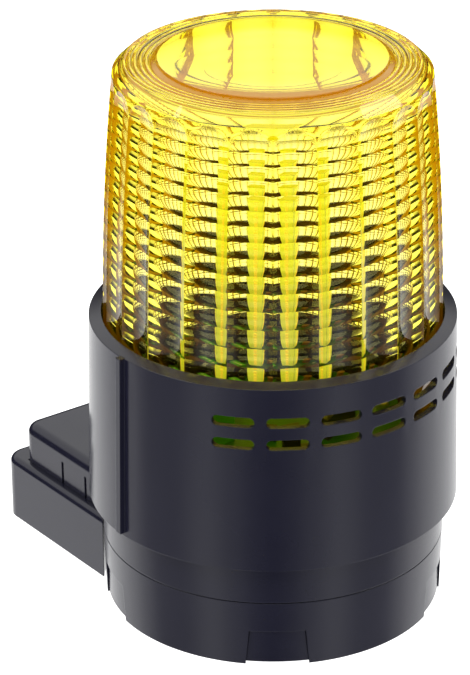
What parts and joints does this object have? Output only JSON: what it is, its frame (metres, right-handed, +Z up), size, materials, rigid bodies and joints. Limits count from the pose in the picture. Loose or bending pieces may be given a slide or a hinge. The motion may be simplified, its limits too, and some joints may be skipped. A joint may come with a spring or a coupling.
{
  "type": "flashing warning light",
  "caption": "Amber flashing warning light: fluted lens in a round sleeve, twist-off from a base with cable notches, on a hollow wall bracket.",
  "frame": {"origin": "centre of the base's underside, on the lens's axis", "axes": "+Z up along the lens's axis, -Y the front, away from the wall, +Y towards the wall, +X to the right seen from the front"},
  "size_m": [0.1136, 0.1422, 0.1695],
  "materials": {
    "blue_black_plastic": "fine moulded satin gloss",
    "amber_lens": "clear amber moulded, fluted outside and prismatic inside",
    "black_rubber": "matt",
    "zinc_steel": "zinc plated",
    "black_nylon": "matt moulded",
    "green_board": "solder mask",
    "green_nylon": "moulded",
    "core_aluminium": "extruded",
    "white_plastic": "moulded",
    "led_board_white": "white solder mask",
    "led_package": "phosphor under a clear dome",
    "capacitor_sleeve": "shrunk sleeve",
    "copper_winding": "enamelled wire",
    "black_component": "moulded"
  },
  "bodies": {
    "root": {"base": "blue_black_plastic", "board_screws": "zinc_steel", "board_stand": "black_nylon", "bracket_arm": "blue_black_plastic", "bracket_cover": "blue_black_plastic", "bracket_screws": "zinc_steel", "bridge_rectifier": "black_component", "bulk_capacitor_1": "capacitor_sleeve", "bulk_capacitor_2": "capacitor_sleeve", "cable_grommet": "black_rubber", "choke": "copper_winding", "core_cap": "white_plastic", "core_screws": "zinc_steel", "driver_board": "green_board", "driver_chip": "black_component", "entry_plug_front_left": "blue_black_plastic", "entry_plug_front_right": "blue_black_plastic", "entry_plug_rear_left": "blue_black_plastic", "entry_plug_rear_right": "blue_black_plastic", "fuse": "black_component", "led_board_1": "led_board_white", "led_board_2": "led_board_white", "led_board_3": "led_board_white", "led_board_4": "led_board_white", "led_core": "core_aluminium", "leds_1": "led_package", "leds_2": "led_package", "leds_3": "led_package", "leds_4": "led_package", "mode_jumper": "black_component", "seam_gasket": "black_rubber", "stand_screws": "zinc_steel", "terminal_block": "green_nylon", "terminal_clamps": "zinc_steel", "terminal_screws": "zinc_steel"},
    "head": {"head_ring": "blue_black_plastic", "lens_seal": "black_rubber", "lens": "amber_lens", "lens_screws": "zinc_steel", "sleeve": "blue_black_plastic"}
  },
  "joints": [
    {"name": "head_twist", "type": "hinge", "parent": "root", "child": "head", "pos_m": [0, 0, 0.0209], "axis": [0, 0, 1], "range_deg": [0, 20]}
  ]
}
